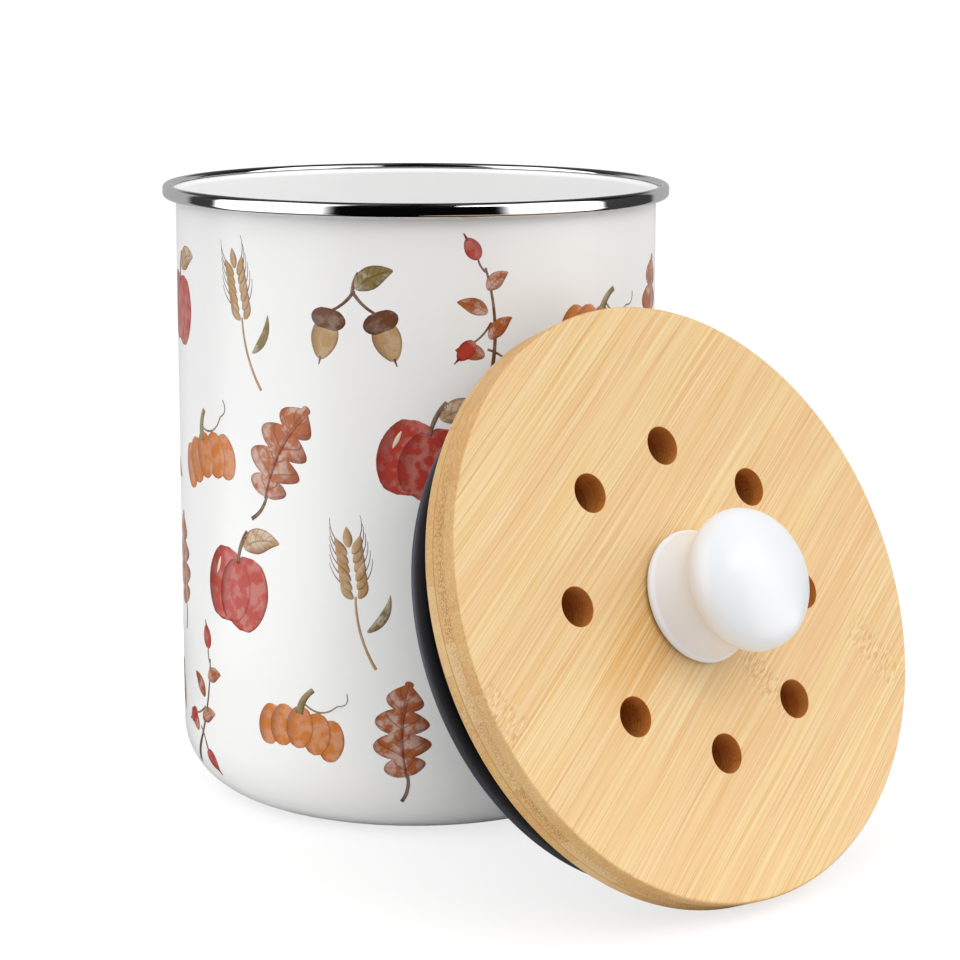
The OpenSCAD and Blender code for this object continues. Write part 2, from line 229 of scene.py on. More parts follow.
# ----------------------
# Light: a white studio tent, brighter overhead and darker where the camera stands, with bright
# strips at both sides, and a soft lamp. Polished surfaces see panels and gaps in its place.
# ----------------------
TENT_LEVEL = 1.05
REAR_LEVEL = 0.68
REAR_TOP_LEVEL = 0.98
STRIP_LEFT = 1.3
STRIP_RIGHT = 2.2
FRONT_LEVEL = 0.15
TOP_LEVEL = 1.42
OVERHEAD_LEVEL = 0.12
HIGH_BACK_SHADE = 0.85
LAMP_AT = (0.70, -1.10, 1.25)
LAMP_AIM = (0.05, 0.0, 0.1)

world = bpy.data.worlds.new("studio tent")
bpy.context.scene.world = world
world.use_nodes = True
tree = world.node_tree
tree.nodes.clear()
direction = tree.nodes.new("ShaderNodeTexCoord").outputs["Generated"]
side, _, height = xyz(tree, direction)
metal_level, facing = studio_level(tree, direction)
# High up behind the object, and overhead, polished surfaces see a dark studio
high_back = times(tree, ramp(tree, facing, 0.10, -0.20), ramp(tree, height, 0.30, 0.45))
metal_level = times(tree, metal_level, minus(tree, 1.0, times(tree, high_back, HIGH_BACK_SHADE)),
                    ramp(tree, height, 0.78, 0.90, 1.0, OVERHEAD_LEVEL))
soft_level = maths(tree, "MINIMUM", ramp(tree, facing, 0.30, 0.95, TENT_LEVEL, FRONT_LEVEL),
                   ramp(tree, facing, -0.60, -0.20, REAR_LEVEL, TENT_LEVEL))
# Strips at both sides, a little behind the object, light the edges of the wall
strip = times(tree, ramp(tree, facing, -0.02, -0.22), ramp(tree, facing, -0.62, -0.42),
              ramp(tree, side, -0.1, 0.1, STRIP_LEFT, STRIP_RIGHT))
soft_level = plus(tree, soft_level, strip)
top_level = ramp(tree, facing, -0.60, -0.10, REAR_TOP_LEVEL, TOP_LEVEL)
upper = ramp(tree, height, 0.10, 0.45)
soft_level = shade(tree, "ShaderNodeMix", Factor=upper, A=soft_level, B=top_level).outputs[0]
ray = tree.nodes.new("ShaderNodeLightPath").outputs
tent, mirror, white = [shade(tree, "ShaderNodeBackground", Color=(1, 1, 1, 1), Strength=strength)
                       for strength in (soft_level, metal_level, WHITE_LEVEL)]
seen = maths(tree, "MAXIMUM", ray["Is Camera Ray"], ray["Is Transmission Ray"])
around = mixed(tree, seen, mixed(tree, ray["Is Glossy Ray"], tent, mirror), white)
shade(tree, "ShaderNodeOutputWorld", Surface=around.outputs[0])

lamp = bpy.data.lights.new("key lamp", "AREA")
lamp.shape = "DISK"
lamp.size = 0.6
lamp.energy = 3.0
lamp_object = new_object("key lamp", lamp)
aim = Vector(LAMP_AIM) - Vector(LAMP_AT)
turn = aim.to_track_quat("-Z", "Y").to_matrix().to_4x4()
lamp_object.matrix_world = Matrix.Translation(LAMP_AT) @ turn

# ----------------------
# Canister: drawn steel cup with a rounded bottom corner and a flange at the mouth, dipped and
# fired in white vitreous enamel inside and out.
# ----------------------
MM = 0.001
WALL_R = 80.0
WALL_T = 1.0
CORNER_R = 22.0
CANISTER_H = 204.5
BEAD_H = 4.6
BEND_R = 0.6
FLANGE_R = 83.5
AROUND = 288
WELDS_PER_MM = 2000
ENAMEL_WHITE = (0.90, 0.90, 0.895, 1)
ENAMEL_CREAM = (0.893, 0.895, 0.892, 1)


def arc(x, z, r, start, end, steps):
    """Points on a circle about (x, z) from one angle to another, in degrees."""
    a = np.radians(np.linspace(start, end, steps + 1))
    return np.stack([x + r * np.cos(a), z + r * np.sin(a)], axis=1)


def swept(outline, u):
    """Grid of the points of an outline (radius, height) at angles u about the Z axis, each at
    (radius cos u, radius sin u, height)."""
    outline = np.asarray(outline, float)
    return np.stack([outline[:, None, 0] * np.cos(u), outline[:, None, 0] * np.sin(u),
                     np.repeat(outline[:, None, 1], len(u), axis=1)], axis=2)


def lathe(outline, around=AROUND):
    """Surface of revolution of a closed loop of points (radius, height), counterclockwise with the
    radius to the right. Points on the axis make a single pole."""
    outline = np.asarray(outline, float)
    count = len(outline)
    points = swept(outline, np.arange(around) * 2 * math.pi / around).reshape(-1, 3)
    i, j = np.meshgrid(np.arange(count), np.arange(around), indexing="ij")
    k, l = (i + 1) % count, (j + 1) % around
    quads = np.stack([i * around + j, i * around + l, k * around + l, k * around + j], axis=2)
    on_axis = (outline[:, 0] < 1e-6) & (np.roll(outline[:, 0], -1) < 1e-6)
    return points, quads[~on_axis].reshape(-1, 4)


def make_piece(name, points, quads, material, body, weighted=True):
    """Makes a closed mesh from points in millimetres and quads. Doubled points are merged and
    flattened quads become triangles, so that poles and seams close."""
    whole = np.round(points * WELDS_PER_MM).astype(np.int64)
    _, first, same = np.unique(whole, axis=0, return_index=True, return_inverse=True)
    same = same.reshape(-1)
    points = points[first]
    faces = [tuple(dict.fromkeys(q)) for q in same[quads].tolist()]
    faces = [q for q in faces if len(q) > 2]
    mesh = bpy.data.meshes.new(name)
    mesh.from_pydata((points * MM).tolist(), [], faces)
    work = bmesh.new()
    work.from_mesh(mesh)
    bmesh.ops.recalc_face_normals(work, faces=work.faces)
    for face in work.faces:
        face.smooth = True
    work.to_mesh(mesh)
    work.free()
    piece = new_object(name, mesh)
    if weighted:
        even = piece.modifiers.new("even shading", "WEIGHTED_NORMAL")
        even.keep_sharp = True
    mesh.materials.append(material)
    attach(piece, body)
    return piece, first


def finish_material(name, colour, roughness, metallic=0.0):
    """A material with one Principled shader, its constants set on the shader's own sockets."""
    material = bpy.data.materials.new(name)
    material.use_nodes = True
    shader = material.node_tree.nodes["Principled BSDF"]
    fill(material.node_tree, shader, Base_Color=colour, Roughness=roughness, Metallic=metallic)
    return material, material.node_tree, shader


def noise(tree, vector, scale, detail=2.0, roughness=0.5):
    """Noise on a vector, with a number of grains per unit of length."""
    return shade(tree, "ShaderNodeTexNoise", Vector=vector, Scale=scale, Detail=detail,
                 Roughness=roughness).outputs["Fac"]


def object_noise(tree, scale, detail=2.0, stretch=(1, 1, 1)):
    """Noise on the piece's own coordinates, with a number of grains per metre and a stretch."""
    place = tree.nodes.new("ShaderNodeTexCoord").outputs["Object"]
    fit = shade(tree, "ShaderNodeMapping", Vector=place, Scale=stretch)
    return noise(tree, fit.outputs["Vector"], scale, detail)


def relief(tree, shader, height, strength, distance):
    """Turns a height into the shader's normal with a Bump node."""
    bump = shade(tree, "ShaderNodeBump", Height=height, Strength=strength, Distance=distance)
    fill(tree, shader, Normal=bump.outputs["Normal"])


def vary_roughness(tree, shader, grain, low, high):
    """Lets a shader's roughness follow a noise between two values."""
    fill(tree, shader, Roughness=ramp(tree, grain, 0.3, 0.7, low, high))


def blend(tree, share, low, high, kind="MIX"):
    """Mixes two colours, or sockets, by a share."""
    node = tree.nodes.new("ShaderNodeMix")
    node.data_type = "RGBA"
    node.blend_type = kind
    for index, value in ((0, share), (6, low), (7, high)):
        feed(tree, node.inputs[index], value)
    return node.outputs[2]


def enamel_gloss(tree, shader):
    """Gives a shader the soft gloss of fired enamel: slightly uneven, with a faint ripple."""
    vary_roughness(tree, shader, object_noise(tree, 35.0, 1.0), 0.29, 0.33)
    relief(tree, shader, object_noise(tree, 160.0, 1.0), 0.02, 0.0004)
    fill(tree, shader, Specular_IOR_Level=0.35, Coat_Weight=0.10, Coat_Roughness=0.16)


bend_x = WALL_R + BEND_R
bend_z = CANISTER_H - BEAD_H / 2 - WALL_T / 2 - BEND_R
canister_outline = np.concatenate([
    [[0, 0]],
    arc(WALL_R - CORNER_R, CORNER_R, CORNER_R, -90, 0, 24),
    np.stack([np.full(8, WALL_R), np.linspace(CORNER_R, bend_z, 10)[1:-1]], axis=1),
    arc(bend_x, bend_z, BEND_R, 180, 90, 6),
    [[FLANGE_R, bend_z + BEND_R], [FLANGE_R, bend_z + BEND_R + WALL_T]],
    arc(bend_x, bend_z, BEND_R + WALL_T, 90, 180, 8),
    arc(WALL_R - CORNER_R, CORNER_R, CORNER_R - WALL_T, 0, -90, 24),
    [[0, WALL_T]],
])
enamel, tree, shader = finish_material("white enamel", ENAMEL_WHITE, 0.1)
enamel_gloss(tree, shader)
cloud = ramp(tree, object_noise(tree, 14.0), 0.35, 0.65)
fill(tree, shader, Base_Color=blend(tree, cloud, ENAMEL_WHITE, ENAMEL_CREAM))
points, quads = lathe(canister_outline)
canister, _ = make_piece("enamelled_canister", points, quads, enamel, "canister")
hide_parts("canister_shell")

# ----------------------
# Rim trim: polished stainless strip, rolled into an upright oval bead round the flange and slit
# on its inner side, where the flange enters.
# ----------------------
TRIM_T = 0.5
BEAD_W = 3.0
RIM_R = 84.3
bead_x = RIM_R - BEAD_W / 2
bead_z = CANISTER_H - BEAD_H / 2
bead_rise = (BEAD_H - BEAD_W) / 2
trim_outline = np.concatenate([
    arc(bead_x, bead_z - bead_rise, BEAD_W / 2, 180, 360, 32),
    arc(bead_x, bead_z + bead_rise, BEAD_W / 2, 0, 180, 32),
    arc(bead_x, bead_z + bead_rise, BEAD_W / 2 - TRIM_T, 180, 0, 20),
    arc(bead_x, bead_z - bead_rise, BEAD_W / 2 - TRIM_T, 0, -180, 20),
])
steel, tree, shader = finish_material("polished steel", (0.80, 0.80, 0.81, 1), 0.06, 1.0)
vary_roughness(tree, shader, object_noise(tree, 900.0, 2.0, (1, 1, 6)), 0.045, 0.085)
relief(tree, shader, object_noise(tree, 60.0, 1.0), 0.04, 0.0005)
points, quads = lathe(trim_outline)
trim, _ = make_piece("steel_rim", points, quads, steel, "canister")
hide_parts("rim_trim")

# ----------------------
# Print: autumn fruit and leaves in watercolour tones, fired into the wall. Each motif is made of
# thin ribbons of colour that stand a few hundredths of a millimetre proud of the enamel, and
# about a tenth on the rounded corner.
# ----------------------
PRINT_COLUMNS = 12
PRINT_HEIGHTS = (35.0, 79.0, 122.0, 164.0)
PRINT_ORDER = (0, 3, 1, 4)
PRINT_LOWEST = 11.0
PRINT_RAISE = 0.03
PRINT_SINK = 0.03
PRINT_SEED = 11
PRINT_SHIFT = 0.08
PRINT_RISE = 3.0
PRINT_TURN = 0.42
PRINT_LAYER = 0.012
CORNER_RAISE = 0.11
RIBBON_EDGE = 0.93
RIBBON_COLUMN_W = 2.2
THIN_WASH = (0.84, 0.76, 0.68, 1)
POOLED = (0.45, 0.32, 0.30, 1)
PIGMENTS = {
    "red": (0.46, 0.045, 0.028), "deep": (0.22, 0.020, 0.016), "rust": (0.42, 0.115, 0.032),
    "orange": (0.60, 0.190, 0.035), "tan": (0.47, 0.290, 0.130), "brown": (0.150, 0.058, 0.026),
    "cream": (0.80, 0.680, 0.520), "olive": (0.250, 0.180, 0.060),
}


def add_attribute(piece, name, values, kind="FLOAT_VECTOR"):
    """Stores one value for each of the piece's points."""
    key = {"FLOAT_VECTOR": "vector", "FLOAT": "value", "FLOAT_COLOR": "color"}[kind]
    stored = piece.data.attributes.new(name, kind, "POINT")
    stored.data.foreach_set(key, np.ascontiguousarray(values, np.float32).ravel())


def attribute(tree, name, output="Vector"):
    """An output of a node that reads what is stored for the piece's points."""
    node = tree.nodes.new("ShaderNodeAttribute")
    node.attribute_name = name
    return node.outputs[output]


def new_group(name, inputs, outputs):
    """A shader node group with named sockets, each given as (name, socket kind, default)."""
    group = bpy.data.node_groups.new(name, "ShaderNodeTree")
    for label, kind, default in inputs:
        socket = group.interface.new_socket(label, in_out="INPUT", socket_type=kind)
        if default is not None:
            socket.default_value = default
    for label, kind in outputs:
        group.interface.new_socket(label, in_out="OUTPUT", socket_type=kind)
    return group, group.nodes.new("NodeGroupInput"), group.nodes.new("NodeGroupOutput")


def use_group(tree, group, **values):
    """Places a node group in a tree with its own values."""
    node = tree.nodes.new("ShaderNodeGroup")
    node.node_tree = group
    return fill(tree, node, **values)


def grid_quads(rows, columns, first=0, closed=False):
    """Quads of a grid of points stored row by row, whose last column may join the first."""
    i, j = np.meshgrid(np.arange(rows - 1), np.arange(columns if closed else columns - 1), indexing="ij")
    k = (j + 1) % columns
    quads = [i * columns + j, i * columns + k, (i + 1) * columns + k, (i + 1) * columns + j]
    return (first + np.stack(quads, axis=2)).reshape(-1, 4)


def joined(grids):
    """Joins grids of points, each given with whether it closes, into one list of points and quads."""
    points, quads, first = [], [], 0
    for grid, closed in grids:
        rows, columns = grid.shape[:2]
        points.append(grid.reshape(-1, 3))
        quads.append(grid_quads(rows, columns, first, closed))
        first += rows * columns
    return np.concatenate(points), np.concatenate(quads)


def steps_along(steps, tip=1.0):
    """Shares of a length from 0 to 1 in even steps, whose first and last step may be shorter."""
    s = np.linspace(0, 1, steps + 1)
    s[1] *= tip
    s[-2] = 1 - tip * (1 - s[-2])
    return s


def bow(start, end, sag, steps=12, tip=1.0):
    """Points on a bow: a parabola from a start to an end that sags to its left by a length."""
    start, end = np.array(start, float), np.array(end, float)
    s = steps_along(steps, tip)[:, None]
    aside = np.array([start[1] - end[1], end[0] - start[0]])
    aside = aside / max(np.linalg.norm(aside), 1e-6)
    return start + (end - start) * s + 4 * s * (1 - s) * sag * aside


def swell(steps, width, full=0.8, blunt=0.9):
    """Half width of a leaf or fruit: a sine of the length to a power, itself to another power."""
    s = np.linspace(0, 1, steps + 1)
    return width / 2 * np.maximum(np.sin(math.pi * s ** full), 0) ** blunt


def taper(steps, start, end):
    """Half width of a stem, which changes evenly from one width to another."""
    return np.linspace(start, end, steps + 1) / 2


def leaf(start, end, width, sag, colour, layer=0, veins=1.0):
    """A leaf's ribbon."""
    return bow(start, end, sag, 16), swell(16, width), colour, veins, layer


def fruit(start, end, width, colour, layer=0, blunt=0.5, full=1.0):
    """A fruit's ribbon, along its core."""
    return bow(start, end, 0.0, 16), swell(16, width, full, blunt), colour, 0.0, layer


def stem(start, end, sag, colour, width=0.8, end_width=0.4, layer=0):
    """A stem's ribbon, a little longer than its ends so that it meets what it grows from."""
    start, end = np.array(start, float), np.array(end, float)
    length = np.linalg.norm(end - start)
    steps = 28 if length > 15 else 12
    way = (end - start) / max(length, 1e-6)
    middle = bow(start - way * width * 0.5, end + way * end_width * 0.5, sag, steps, 0.2)
    return middle, taper(steps, width, end_width), colour, 0.0, layer


def apple():
    """A round apple with a stem, a leaf and a glint."""
    return [
        fruit((-4.4, 9.5), (-3.6, -10.5), 15, "red", 0, 0.45),
        fruit((4.4, 9.5), (3.6, -10.5), 15, "red", 1, 0.45),
        fruit((0, 7.5), (0, -9.5), 12, "red", 2, 0.5),
        fruit((-7.0, 5.5), (-7.9, 0.5), 1.2, "cream", 3, 0.8),
        stem((0, 6.5), (1.5, 14.5), 0.8, "brown", 1.0, 1.4, 3),
        leaf((1.0, 10.5), (12, 15.5), 6.5, 1.5, "tan", 3),
    ]


def acorns():
    """Two acorns on one twig."""
    parts = [
        stem((0, 13.5), (-7, 8.0), 0.8, "brown", 1.2, 0.9),
        stem((0, 13.5), (6.5, 6.5), -0.8, "brown", 1.2, 0.9),
        stem((0, 13.5), (2.0, 19), 0.5, "brown", 1.4, 1.0),
        leaf((0.5, 14.0), (13.5, 19.5), 7.5, 1.2, "olive", 1),
    ]
    for x, z, lean in ((-8.0, 7.5, -0.28), (7.5, 6.0, 0.30)):
        down = np.array([math.sin(lean), -math.cos(lean)])
        top = np.array([x, z])
        parts += [
            fruit(top + down * 2.0, top + down * 16.0, 9.5, "tan", 1, 0.62, 0.82),
            fruit(top - down * 1.0, top + down * 6.2, 12.0, "brown", 2, 0.40, 1.0),
            stem(top + down * 15.2, top + down * 17.4, 0, "brown", 0.9, 0.3, 2),
        ]
    return parts


def pumpkin():
    """A ribbed pumpkin with a stem and a tendril."""
    ribs = ((-11.0, -0.8, 9.5), (11.0, -0.8, 9.5), (-6.0, 0.4, 10.5), (6.0, 0.4, 10.5), (0, 1.2, 10.5))
    parts = [fruit((x, 6.0 + rise), (x * 1.05, -8.5 + rise), width, "orange", layer, 0.5)
             for layer, (x, rise, width) in enumerate(ribs)]
    return parts + [
        stem((0, 5.5), (3.0, 12.5), 1.2, "olive", 3.0, 1.6, 5),
        stem((0.8, 8.2), (12.0, 10.0), -2.6, "olive", 0.6, 0.4, 5),
        stem((12.0, 10.0), (14.5, 14.5), -1.8, "olive", 0.4, 0.3, 5),
    ]


def oak_leaf():
    """A lobed oak leaf on its stalk: lobes are swells along the leaf, with narrow bays between."""
    s = np.linspace(0, 1, 73)
    lobes = 0.42 + 0.58 * np.abs(np.sin(math.pi * (4 * s + 0.22))) ** 0.75
    half = 10.0 * np.maximum(np.sin(math.pi * s ** 0.72), 0) ** 0.55 * lobes
    return [
        (bow((-2, -13), (2, 19), 2.2, 72), half, "rust", 1.0, 0),
        stem((-2.0, -12), (-4.5, -21), 1.2, "brown", 1.0, 1.3, 1),
        stem((-2, -13), (1.6, 15), 2.0, "deep", 0.8, 0.2, 1),
    ]


def barley():
    """An ear of barley: two rows of grains, each with its awn."""
    parts = [stem((3, -21), (0, 1), 1.6, "tan", 1.0, 0.7)]
    for k in range(6):
        for side in (-1, 1):
            x, z = side * 0.7, 0.5 + 2.7 * k
            tip = (x + side * 3.3, z + 5.6)
            awn_tip = (x + side * (6.0 - 0.4 * k), z + 11.5)
            parts += [
                leaf((x, z), tip, 2.9, -side * 0.5, "tan", 1 + k % 3, 0.0),
                stem((x + side * 3.0, z + 5.0), awn_tip, -side * 0.6, "brown", 0.35, 0.15),
            ]
    return parts + [
        leaf((0, 16), (0, 22.5), 3.0, 0, "tan", 3, 0.0),
        leaf((1.6, -10), (10.5, 1), 3.0, -2.0, "olive", 1),
    ]


def rosehips():
    """A sprig with rosehips and small leaves."""
    parts = [stem((-5, -20), (3, 18), -3.0, "brown", 1.5, 0.7)]
    for x, z, dx, dz in ((-3.0, -9, -9, 4.5), (-0.5, -4, 9, 5), (0.8, 4, -9, 6), (2.2, 11, 8, 4)):
        parts.append(leaf((x, z), (x + dx, z + dz), 5.2, 0.8 if dx > 0 else -0.8, "rust", 1))
    for x, z, dx, dz in ((-1.5, -7, 6.0, -6.0), (1.0, 1, -6.5, -4.5), (3.0, 17, -1.5, 4.5)):
        parts.append(stem((x, z), (x + dx, z + dz), 0.6, "brown", 0.8, 0.6))
        end = np.array([x + dx, z + dz])
        way = np.array([dx, dz]) / math.hypot(dx, dz)
        parts.append(fruit(end - way * 0.5, end + way * 7.5, 5.4, "red", 2, 0.6, 0.9))
        parts.append(stem(end + way * 7.0, end + way * 9.0, 0.0, "deep", 1.2, 0.3, 3))
    return parts


def ribbon(middle, half, layer, x, z, turn, scale, first):
    """Closed ribbon on the wall, pointed at both ends: rows of points from edge to edge across a
    middle line, the inner ones raised above the wall, with a strip below that joins the edges.
    Below the top of the rounded corner the wall's radius follows a circle."""
    half = half.copy()
    half[0] = half[-1] = 0
    along = np.gradient(middle, axis=0)
    along /= np.maximum(np.linalg.norm(along, axis=1, keepdims=True), 1e-9)
    side = np.stack([along[:, 1], -along[:, 0]], axis=1)
    columns = max(2, 2 * int(half.max() / RIBBON_COLUMN_W) + 3)
    across = np.concatenate([[-1], np.linspace(-RIBBON_EDGE, RIBBON_EDGE, columns), [1]])
    flat = middle[:, None] + side[:, None] * (half[:, None] * across)[:, :, None]
    c, s = math.cos(turn) * scale, math.sin(turn) * scale
    flat = np.stack([x + flat[..., 0] * c - flat[..., 1] * s,
                     z + flat[..., 0] * s + flat[..., 1] * c], axis=2)
    drop = np.maximum(CORNER_R - flat[..., 1], 0)
    wall = WALL_R - CORNER_R + np.sqrt(CORNER_R ** 2 - drop ** 2)
    radius = wall + PRINT_RAISE + PRINT_LAYER * layer + CORNER_RAISE * (drop > 0)
    radius[:, (0, -1)] = wall[:, (0, -1)] - PRINT_SINK
    radius[(0, -1), :] = wall[(0, -1), :] - PRINT_SINK
    angle = flat[..., 0] / WALL_R
    points = np.stack([radius * np.sin(angle), -radius * np.cos(angle), flat[..., 1]], axis=2)
    rows, columns = len(middle), len(across)
    i = np.arange(rows - 1) * columns
    below = np.stack([i, i + columns, i + 2 * columns - 1, i + columns - 1], axis=1) + first
    s = np.linspace(0, 1, rows)
    place = np.stack([np.repeat(s, columns), np.tile(across, rows)], axis=1)
    return points.reshape(-1, 3), np.concatenate([grid_quads(rows, columns, first), below]), place


# Watercolour: pigment that pools at the edges, thins out to pale washes, and settles in grains
watercolour, given, result = new_group("watercolour", [
    ("Pigment", "NodeSocketColor", None), ("Stroke", "NodeSocketVector", None),
    ("Place", "NodeSocketVector", None),
], [("Color", "NodeSocketColor")])
tree = watercolour
along, across, veined = xyz(tree, given.outputs["Stroke"])
outward = maths(tree, "ABSOLUTE", across)
pigment = given.outputs["Pigment"]
wash = noise(tree, given.outputs["Place"], 260.0, 3.0)
grain = noise(tree, given.outputs["Place"], 2400.0, 2.0)
thin = blend(tree, plus(tree, 0.16, times(tree, veined, 0.26)), pigment, THIN_WASH)
thick = blend(tree, 1.0, pigment, POOLED, "MULTIPLY")
tone = blend(tree, ramp(tree, wash, 0.60, 0.42), thin, pigment)
pool = plus(tree, across, times(tree, wash, 0.8))
rib = maths(tree, "FRACT", plus(tree, times(tree, along, 7.0), times(tree, outward, -1.3)))
rib = ramp(tree, maths(tree, "ABSOLUTE", minus(tree, rib, 0.5)), 0.02, 0.11, 1.0, 0.0)
rib = maths(tree, "MAXIMUM", rib, ramp(tree, outward, 0.03, 0.11, 1.0, 0.0))
for mask, share in (
    (ramp(tree, pool, 0.6, 1.3), 0.55), (ramp(tree, outward, 0.78, 0.96), 0.60),
    (times(tree, rib, veined), 0.62), (ramp(tree, grain, 0.52, 0.70), 0.30),
):
    tone = blend(tree, times(tree, mask, share), tone, thick)
fill(tree, result, Color=tone)

ink, tree, shader = finish_material("fired print", (0.4, 0.1, 0.05, 1), 0.12)
enamel_gloss(tree, shader)
place = tree.nodes.new("ShaderNodeTexCoord").outputs["Object"]
paint = use_group(tree, watercolour, Pigment=attribute(tree, "pigment", "Color"),
                  Stroke=attribute(tree, "stroke"), Place=place)
fill(tree, shader, Base_Color=paint.outputs["Color"])

chance = np.random.default_rng(PRINT_SEED)
kinds = {oak_leaf: 1.05, apple: 1.28, barley: 1.05, acorns: 1.05, rosehips: 1.04, pumpkin: 1.08}
made = {kind: ([], [], [], []) for kind in kinds}
for row, height in enumerate(PRINT_HEIGHTS):
    for column in range(PRINT_COLUMNS):
        kind = list(kinds)[(column + PRINT_ORDER[row]) % len(kinds)]
        shift = chance.uniform(-PRINT_SHIFT, PRINT_SHIFT)
        x = (column + 0.5 * (row % 2) + shift) * 2 * math.pi * WALL_R / PRINT_COLUMNS
        z = height + chance.uniform(-PRINT_RISE, PRINT_RISE)
        turn = chance.uniform(-PRINT_TURN, PRINT_TURN)
        scale = kinds[kind] * chance.uniform(0.93, 1.05)
        points, quads, strokes, colours = made[kind]
        parts = kind()
        lowest = min((part[0] @ [math.sin(turn), math.cos(turn)]).min() for part in parts) * scale
        z = max(z, PRINT_LOWEST - lowest)
        for middle, half, colour, veins, layer in parts:
            more, faces, place = ribbon(middle, half, layer, x, z, turn, scale, sum(map(len, points)))
            points.append(more)
            quads.append(faces)
            strokes.append(np.column_stack([place, np.full(len(more), veins)]))
            colours.append(np.tile(np.array(PIGMENTS[colour] + (1.0,)), (len(more), 1)))
for kind, (points, quads, strokes, colours) in made.items():
    piece, kept = make_piece("print_" + kind.__name__, np.concatenate(points), np.concatenate(quads),
                             ink, "canister", weighted=False)
    add_attribute(piece, "stroke", np.concatenate(strokes)[kept])
    add_attribute(piece, "pigment", np.concatenate(colours)[kept], "FLOAT_COLOR")

# ----------------------
# Lid board: round board of laminated bamboo in three plies, turned on its edge, drilled with a
# ring of vent holes, sanded and oiled.
# ----------------------
BOARD_R = 91.9
BOARD_T = 14.0
BOARD_EDGE_R = 1.0
BOARD_UNDER_R = 2.0
VENT_R = 6.0
VENT_CIRCLE_R = 47.5
VENT_COUNT = 8
VENT_TURN = 84.0
VENT_EDGE_R = 0.12
SCREW_HOLE_R = 2.8
RECESS_R = 7.0
RECESS_Z = -9.0
FIELD_IN_R = 34.0
FIELD_OUT_R = 61.0
ARC_STEPS = 24
SIDE_STEPS = 12
FIELD_SHARES = (0.0, 0.08, 0.3, 0.65, 1.0)
COVER_DEPTH = 33.3
GRAIN_TURN = 35.0
PLY_T = BOARD_T / 3
STRIP_W = 21.0
EDGE_DEPTH = 0.35

twist_joint = [j for j in frame["joints"] if j["name"] == "cover_twist"][0]
lid_z = np.array(twist_joint["axis"], float)
lid_z /= np.linalg.norm(lid_z)
lid_x = np.array([-lid_z[1], lid_z[0], 0.0])
lid_x /= np.linalg.norm(lid_x)
lid_y = np.cross(lid_z, lid_x)
lid_origin = np.array(twist_joint["pos_m"], float) / MM + COVER_DEPTH * lid_z


def in_lid(points):
    """Points about the lid's own axis, with zero at the board's top face, put in their place."""
    return points[:, :1] * lid_x + points[:, 1:2] * lid_y + points[:, 2:] * lid_z + lid_origin


def vent_field(z, turn_at):
    """Flat field round one vent hole: straight blends from the hole's circle to the edge of a
    ring sector, whose arcs and sides are split as finely as the rings inside and outside it."""
    half = math.pi / VENT_COUNT
    arc_a = np.linspace(-half, half, ARC_STEPS + 1)
    side = np.linspace(FIELD_OUT_R, FIELD_IN_R, SIDE_STEPS + 1)
    radius = np.concatenate([np.full(ARC_STEPS, FIELD_OUT_R), side[:-1],
                             np.full(ARC_STEPS, FIELD_IN_R), side[::-1][:-1]])
    angle = np.concatenate([arc_a[:-1], np.full(SIDE_STEPS, half),
                            arc_a[::-1][:-1], np.full(SIDE_STEPS, -half)]) + turn_at
    rim = np.stack([radius * np.cos(angle), radius * np.sin(angle)], axis=1)
    count = len(rim)
    around = turn_at + 2 * math.pi * (np.arange(count) - ARC_STEPS / 2) / count
    hole = np.stack([np.cos(around), np.sin(around)], axis=1)
    middle = VENT_CIRCLE_R * np.array([math.cos(turn_at), math.sin(turn_at)])
    inner = middle + (VENT_R + VENT_EDGE_R) * hole
    rows = [inner + share * (rim - inner) for share in FIELD_SHARES]
    return np.stack([np.column_stack([row, np.full(count, z)]) for row in rows]), hole, middle


board_grids = []
vent_grids = []
for vent in range(VENT_COUNT):
    turn_at = math.radians(VENT_TURN) + vent * 2 * math.pi / VENT_COUNT
    for z in (0.0, -BOARD_T):
        field, hole, middle = vent_field(z, turn_at)
        board_grids.append((field, True))
    wall = np.concatenate([
        arc(VENT_R + VENT_EDGE_R, -VENT_EDGE_R, VENT_EDGE_R, 90, 180, 4),
        [[VENT_R, -BOARD_T / 2]],
        arc(VENT_R + VENT_EDGE_R, VENT_EDGE_R - BOARD_T, VENT_EDGE_R, 180, 270, 4),
    ])
    rings = [np.column_stack([middle + r * hole, np.full(len(hole), z)]) for r, z in wall]
    vent_grids.append((np.stack(rings), True))
ring_around = VENT_COUNT * ARC_STEPS
ring_at = np.arange(ring_around) * 2 * math.pi / ring_around
ring_at = ring_at + math.radians(VENT_TURN) - math.pi / VENT_COUNT
# Rings between the edges of the flat faces keep their quads short
for outline in (
    [(FIELD_IN_R, 0), (20, 0), (SCREW_HOLE_R, 0), (SCREW_HOLE_R, RECESS_Z), (RECESS_R, RECESS_Z),
     (RECESS_R, -BOARD_T), (20, -BOARD_T), (FIELD_IN_R, -BOARD_T)],
    np.concatenate([
        [(FIELD_OUT_R, 0), (76, 0), (89, 0)],
        arc(BOARD_R - BOARD_EDGE_R, -BOARD_EDGE_R, BOARD_EDGE_R, 90, 0, 8),
        [(BOARD_R, -5.0), (BOARD_R, -9.0)],
        arc(BOARD_R - BOARD_UNDER_R, BOARD_UNDER_R - BOARD_T, BOARD_UNDER_R, 0, -90, 8),
        [(87, -BOARD_T), (76, -BOARD_T), (FIELD_OUT_R, -BOARD_T)],
    ]),
):
    board_grids.append((swept(outline, ring_at), True))
flat_points, flat_quads = joined(board_grids)
vent_points, vent_quads = joined(vent_grids)
board_points = np.concatenate([flat_points, vent_points])
board_quads = np.concatenate([flat_quads, vent_quads + len(flat_points)])
in_vent = np.concatenate([np.zeros(len(flat_points)), np.ones(len(vent_points))])


